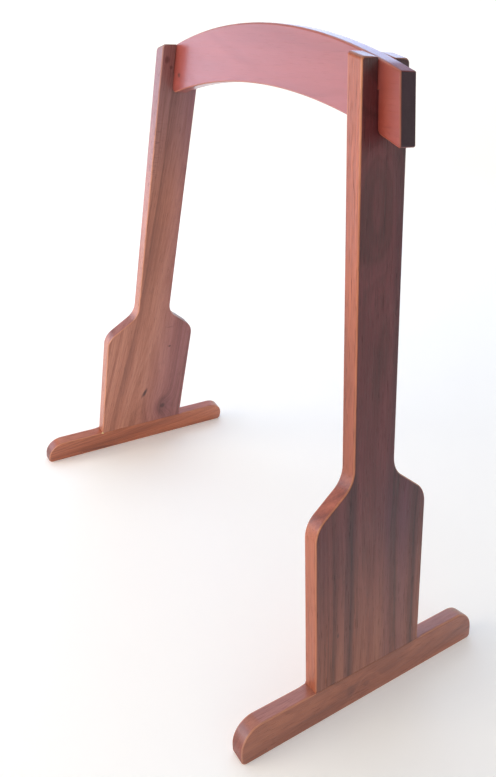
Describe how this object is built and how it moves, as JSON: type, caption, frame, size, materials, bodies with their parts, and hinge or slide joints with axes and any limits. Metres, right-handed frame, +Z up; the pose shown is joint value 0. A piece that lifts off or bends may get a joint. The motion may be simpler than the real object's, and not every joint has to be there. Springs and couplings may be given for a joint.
{
  "type": "embroidery frame stand",
  "caption": "Free-standing wooden frame stand with splayed paddle-shaped uprights on long feet, joined by an arched top rail halved into open slots in their tops.",
  "frame": {"origin": "on the floor, at the middle of the stand's footprint", "axes": "+X along the rail towards the right-hand upright, +Y from the front to the back, +Z up"},
  "size_m": [0.637, 0.354, 0.694],
  "materials": {
    "upright": "oiled red-brown hardwood, satin, with darker streaks and small knots",
    "foot": "oiled red-brown hardwood, satin",
    "rail": "oiled red hardwood, smooth satin with a soft sheen",
    "dowel": "bare pale hardwood, glued in and hidden"
  },
  "bodies": {
    "rail": {"top_rail": "rail"},
    "left_end": {"upright_left": "upright", "foot_left": "foot", "dowel_left_front": "dowel", "dowel_left_back": "dowel"},
    "right_end": {"upright_right": "upright", "foot_right": "foot", "dowel_right_front": "dowel", "dowel_right_back": "dowel"}
  },
  "joints": [
    {"name": "left_halving", "type": "slide", "parent": "rail", "child": "left_end", "axis": [-0.1874, 0, -0.9823], "range_m": [0, 0.075]},
    {"name": "right_halving", "type": "slide", "parent": "rail", "child": "right_end", "axis": [0.1874, 0, -0.9823], "range_m": [0, 0.075]}
  ]
}
